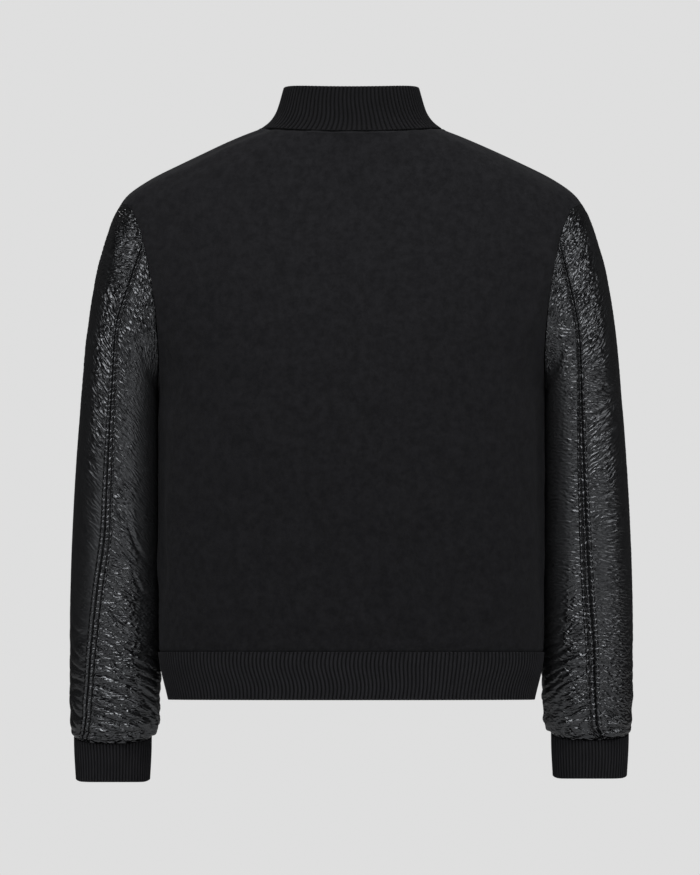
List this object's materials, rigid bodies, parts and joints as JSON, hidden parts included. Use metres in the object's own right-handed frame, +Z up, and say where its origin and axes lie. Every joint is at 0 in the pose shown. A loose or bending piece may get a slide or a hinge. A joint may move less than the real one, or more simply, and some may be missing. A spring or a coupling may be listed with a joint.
{
  "type": "varsity jacket",
  "caption": "Hip-length varsity jacket, filled out: wool body, set-in leather sleeves, rib-knit stand collar, hem band and cuffs, snap front.",
  "frame": {"origin": "middle of the neck opening, level with the collar seam at its sides", "axes": "+Z up along the body, the front faces -Y and the back +Y, +X towards the wearer's left sleeve"},
  "size_m": [0.6512, 0.2643, 0.8032],
  "materials": {
    "wool": "matt napped melton wool",
    "leather": "glossy, crinkled",
    "rib_knit": "matt rib knit",
    "snap_metal": "satin black"
  },
  "bodies": {
    "root": {"back": "wool", "front_left": "wool", "front_right": "wool", "sleeve_top_left": "leather", "sleeve_under_left": "leather", "sleeve_top_right": "leather", "sleeve_under_right": "leather", "collar_rib": "rib_knit", "hem_rib": "rib_knit", "cuff_left": "rib_knit", "cuff_right": "rib_knit", "snap_cap_1": "snap_metal", "snap_cap_2": "snap_metal", "snap_cap_3": "snap_metal", "snap_cap_4": "snap_metal", "snap_cap_5": "snap_metal", "snap_cap_6": "snap_metal", "snap_cap_7": "snap_metal", "snap_back_1": "snap_metal", "snap_back_2": "snap_metal", "snap_back_3": "snap_metal", "snap_back_4": "snap_metal", "snap_back_5": "snap_metal", "snap_back_6": "snap_metal", "snap_back_7": "snap_metal"}
  },
  "joints": []
}
